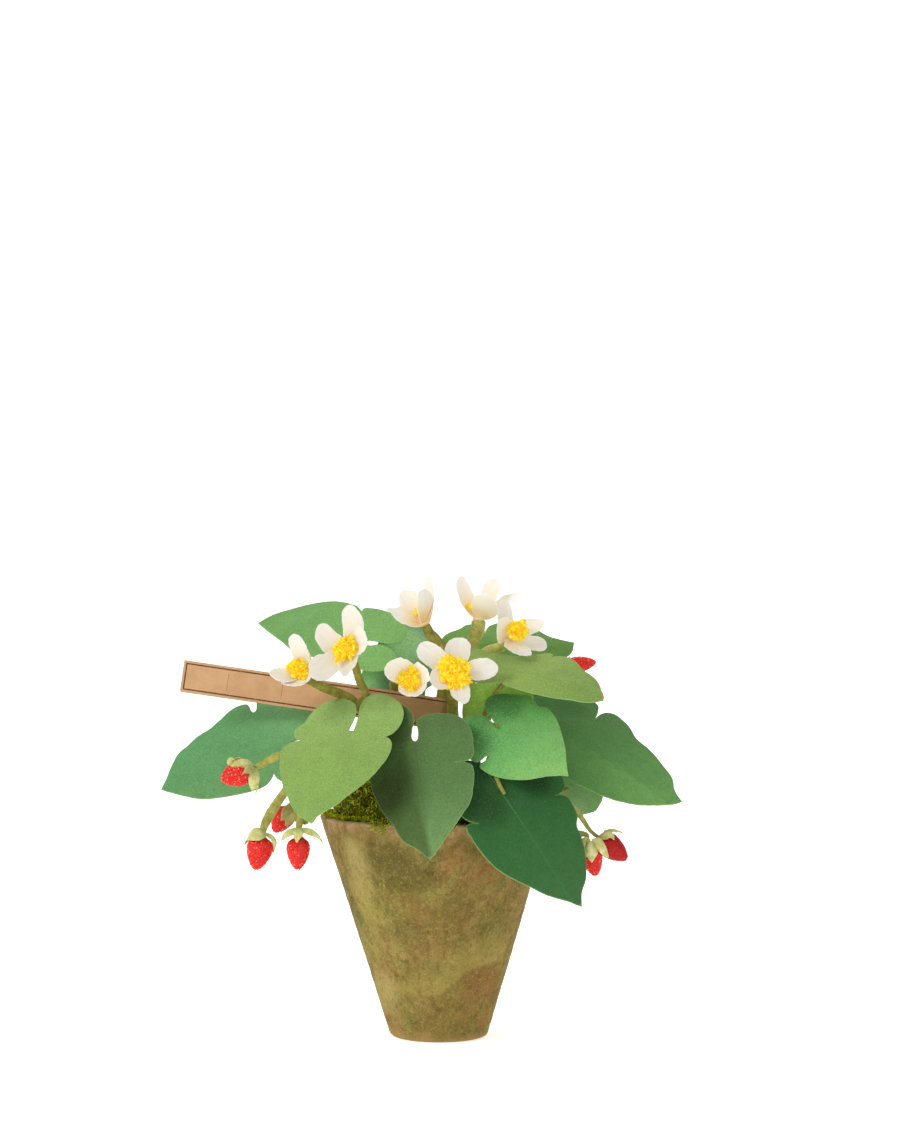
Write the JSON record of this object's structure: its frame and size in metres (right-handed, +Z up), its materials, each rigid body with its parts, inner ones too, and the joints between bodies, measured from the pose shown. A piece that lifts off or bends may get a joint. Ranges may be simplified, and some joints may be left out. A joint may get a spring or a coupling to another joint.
{
  "type": "potted strawberry plant",
  "caption": "Handmade paper strawberry plant in an aged clay pot, with card leaves, crepe paper flowers, beaded berries on wrapped stems, a moss top and a blank kraft label.",
  "frame": {"origin": "centre of the pot's base, on the surface that it stands on", "axes": "+Z up, -Y towards the viewer of the plant's front, +X to that viewer's right"},
  "size_m": [0.2686, 0.1786, 0.2383],
  "materials": {
    "pot": "matt, aged, with green and white bloom",
    "foam_plug": "dry and crumbly",
    "moss": "fibrous",
    "plant_label": "uncoated kraft card",
    "leaf_front_left": "matt painted card",
    "leaf_front_center": "matt painted card",
    "leaf_right_small": "matt painted card",
    "leaf_lower_right": "matt painted card",
    "leaf_right_large": "matt painted card",
    "leaf_right_under": "matt painted card",
    "leaf_upper_right": "matt painted card",
    "leaf_back_right": "matt painted card",
    "leaf_mid_light": "matt painted card",
    "leaf_upper_left": "matt painted card",
    "leaf_back_center": "matt painted card",
    "leaf_left": "matt painted card",
    "leaf_rear_left": "matt painted card",
    "leaf_rear_center": "matt painted card",
    "leaf_rear_right": "matt painted card",
    "leaf_rear_low": "matt painted card",
    "leaf_stems_left": "crepe tape over wire",
    "leaf_stems_right": "crepe tape over wire",
    "leaf_stems_rear": "crepe tape over wire",
    "flower_stalk_left": "crepe tape over wire",
    "flower_stalk_center": "crepe tape over wire",
    "flower_stalk_front": "crepe tape over wire",
    "flower_stalk_right": "crepe tape over wire",
    "fruit_stalk_left": "crepe tape over wire",
    "fruit_stalk_right": "crepe tape over wire",
    "fruit_stalk_rear": "crepe tape over wire",
    "corolla_g": "matt crepe paper",
    "stamen_tuft_g": "fringed paper",
    "corolla_f": "matt crepe paper",
    "stamen_tuft_f": "fringed paper",
    "corolla_b": "matt crepe paper",
    "stamen_tuft_b": "fringed paper",
    "corolla_a": "matt crepe paper",
    "stamen_tuft_a": "fringed paper",
    "corolla_c": "matt crepe paper",
    "stamen_tuft_c": "fringed paper",
    "corolla_d": "matt crepe paper",
    "stamen_tuft_d": "fringed paper",
    "corolla_e": "matt crepe paper",
    "stamen_tuft_e": "fringed paper",
    "berry_left_1": "beaded grain",
    "calyx_left_1": "matt paper",
    "berry_left_2": "beaded grain",
    "calyx_left_2": "matt paper",
    "berry_left_3": "beaded grain",
    "calyx_left_3": "matt paper",
    "berry_left_4": "beaded grain",
    "calyx_left_4": "matt paper",
    "berry_right_1": "beaded grain",
    "calyx_right_1": "matt paper",
    "berry_right_2": "beaded grain",
    "calyx_right_2": "matt paper",
    "berry_rear_1": "beaded grain",
    "calyx_rear_1": "matt paper",
    "berry_rear_2": "beaded grain",
    "calyx_rear_2": "matt paper"
  },
  "bodies": {
    "root": {"pot": "pot", "foam_plug": "foam_plug", "moss": "moss", "plant_label": "plant_label", "leaf_front_left": "leaf_front_left", "leaf_front_center": "leaf_front_center", "leaf_right_small": "leaf_right_small", "leaf_lower_right": "leaf_lower_right", "leaf_right_large": "leaf_right_large", "leaf_right_under": "leaf_right_under", "leaf_upper_right": "leaf_upper_right", "leaf_back_right": "leaf_back_right", "leaf_mid_light": "leaf_mid_light", "leaf_upper_left": "leaf_upper_left", "leaf_back_center": "leaf_back_center", "leaf_left": "leaf_left", "leaf_rear_left": "leaf_rear_left", "leaf_rear_center": "leaf_rear_center", "leaf_rear_right": "leaf_rear_right", "leaf_rear_low": "leaf_rear_low", "leaf_stems_left": "leaf_stems_left", "leaf_stems_right": "leaf_stems_right", "leaf_stems_rear": "leaf_stems_rear", "flower_stalk_left": "flower_stalk_left", "flower_stalk_center": "flower_stalk_center", "flower_stalk_front": "flower_stalk_front", "flower_stalk_right": "flower_stalk_right", "fruit_stalk_left": "fruit_stalk_left", "fruit_stalk_right": "fruit_stalk_right", "fruit_stalk_rear": "fruit_stalk_rear", "corolla_g": "corolla_g", "stamen_tuft_g": "stamen_tuft_g", "corolla_f": "corolla_f", "stamen_tuft_f": "stamen_tuft_f", "corolla_b": "corolla_b", "stamen_tuft_b": "stamen_tuft_b", "corolla_a": "corolla_a", "stamen_tuft_a": "stamen_tuft_a", "corolla_c": "corolla_c", "stamen_tuft_c": "stamen_tuft_c", "corolla_d": "corolla_d", "stamen_tuft_d": "stamen_tuft_d", "corolla_e": "corolla_e", "stamen_tuft_e": "stamen_tuft_e", "berry_left_1": "berry_left_1", "calyx_left_1": "calyx_left_1", "berry_left_2": "berry_left_2", "calyx_left_2": "calyx_left_2", "berry_left_3": "berry_left_3", "calyx_left_3": "calyx_left_3", "berry_left_4": "berry_left_4", "calyx_left_4": "calyx_left_4", "berry_right_1": "berry_right_1", "calyx_right_1": "calyx_right_1", "berry_right_2": "berry_right_2", "calyx_right_2": "calyx_right_2", "berry_rear_1": "berry_rear_1", "calyx_rear_1": "calyx_rear_1", "berry_rear_2": "berry_rear_2", "calyx_rear_2": "calyx_rear_2"}
  },
  "joints": []
}
